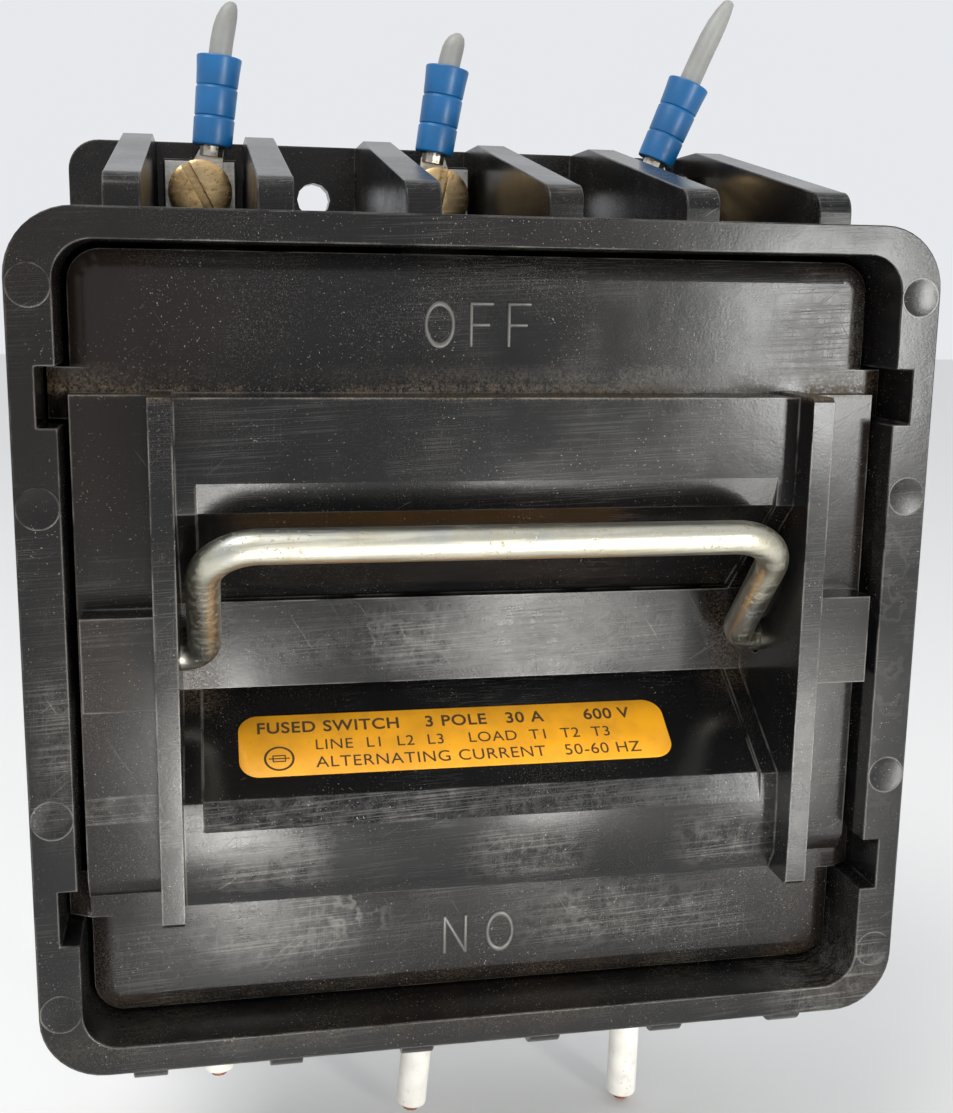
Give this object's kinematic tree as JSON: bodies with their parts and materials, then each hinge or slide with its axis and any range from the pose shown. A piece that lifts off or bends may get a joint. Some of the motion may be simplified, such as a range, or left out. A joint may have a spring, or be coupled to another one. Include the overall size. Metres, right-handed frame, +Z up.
{
  "type": "fused disconnect switch",
  "caption": "Pull-out fused disconnect switch in a black moulded housing with barrier fins, screw terminals and wire stubs, and a head with a wire bail that holds cartridge fuses.",
  "frame": {"origin": "middle of the flat back face that lies against the panel", "axes": "+Y into the panel, so the front faces -Y; +Z up towards the line terminals; +X to the right seen from the front"},
  "size_m": [0.1234, 0.0792, 0.1995],
  "materials": {
    "housing_phenolic": "moulded black phenolic, semi-gloss, dusty, scuffed edges",
    "head_phenolic": "moulded brown-black phenolic, semi-gloss, scuffed and dusty",
    "label_foil": "yellow-orange foil sticker with dark printing",
    "zinc_wire": "zinc-plated round steel wire, slightly pitted",
    "brass_screw": "aged brass, worn slot",
    "steel_screw": "plated steel",
    "tinned_contact": "tinned copper, dull",
    "tinned_lug": "tinned copper, stained",
    "blue_sleeve": "blue vinyl terminal sleeve",
    "grey_wire": "grey wire stub, tapered end",
    "white_wire": "white building-wire insulation",
    "bare_conductor": "bare copper",
    "spring_clip": "spring copper",
    "fuse_tube": "glass-melamine fuse tube",
    "fuse_ferrule": "nickel-washed brass"
  },
  "bodies": {
    "base": {"base_housing": "housing_phenolic", "line_contact_1": "tinned_contact", "load_contact_1": "tinned_contact", "line_terminal_screw_1": "brass_screw", "load_terminal_screw_1": "brass_screw", "line_contact_screw_1": "steel_screw", "load_contact_screw_1": "steel_screw", "line_lug_1": "tinned_lug", "line_sleeve_1": "blue_sleeve", "line_wire_1": "grey_wire", "load_wire_1": "white_wire", "load_conductor_1": "bare_conductor", "line_contact_2": "tinned_contact", "load_contact_2": "tinned_contact", "line_terminal_screw_2": "brass_screw", "load_terminal_screw_2": "brass_screw", "line_contact_screw_2": "steel_screw", "load_contact_screw_2": "steel_screw", "line_lug_2": "tinned_lug", "line_sleeve_2": "blue_sleeve", "line_wire_2": "grey_wire", "load_wire_2": "white_wire", "load_conductor_2": "bare_conductor", "line_contact_3": "tinned_contact", "load_contact_3": "tinned_contact", "line_terminal_screw_3": "brass_screw", "load_terminal_screw_3": "brass_screw", "line_contact_screw_3": "steel_screw", "load_contact_screw_3": "steel_screw", "line_lug_3": "tinned_lug", "line_sleeve_3": "blue_sleeve", "line_wire_3": "grey_wire", "load_wire_3": "white_wire", "load_conductor_3": "bare_conductor"},
    "pullout": {"pullout_head": "head_phenolic", "rating_label": "label_foil", "line_fuse_clip_1": "spring_clip", "load_fuse_clip_1": "spring_clip", "line_clip_screw_1": "steel_screw", "load_clip_screw_1": "steel_screw", "fuse_tube_1": "fuse_tube", "line_fuse_cap_1": "fuse_ferrule", "load_fuse_cap_1": "fuse_ferrule", "line_fuse_clip_2": "spring_clip", "load_fuse_clip_2": "spring_clip", "line_clip_screw_2": "steel_screw", "load_clip_screw_2": "steel_screw", "fuse_tube_2": "fuse_tube", "line_fuse_cap_2": "fuse_ferrule", "load_fuse_cap_2": "fuse_ferrule", "line_fuse_clip_3": "spring_clip", "load_fuse_clip_3": "spring_clip", "line_clip_screw_3": "steel_screw", "load_clip_screw_3": "steel_screw", "fuse_tube_3": "fuse_tube", "line_fuse_cap_3": "fuse_ferrule", "load_fuse_cap_3": "fuse_ferrule"},
    "handle": {"bail_handle": "zinc_wire"}
  },
  "joints": [
    {"name": "head_pull", "type": "slide", "parent": "base", "child": "pullout", "axis": [0, -1, 0], "range_m": [0, 0.065]},
    {"name": "handle_swing", "type": "hinge", "parent": "pullout", "child": "handle", "pos_m": [0, -0.0605, -0.0018], "axis": [-1, 0, 0], "range_deg": [-99.5, 8.5]}
  ]
}
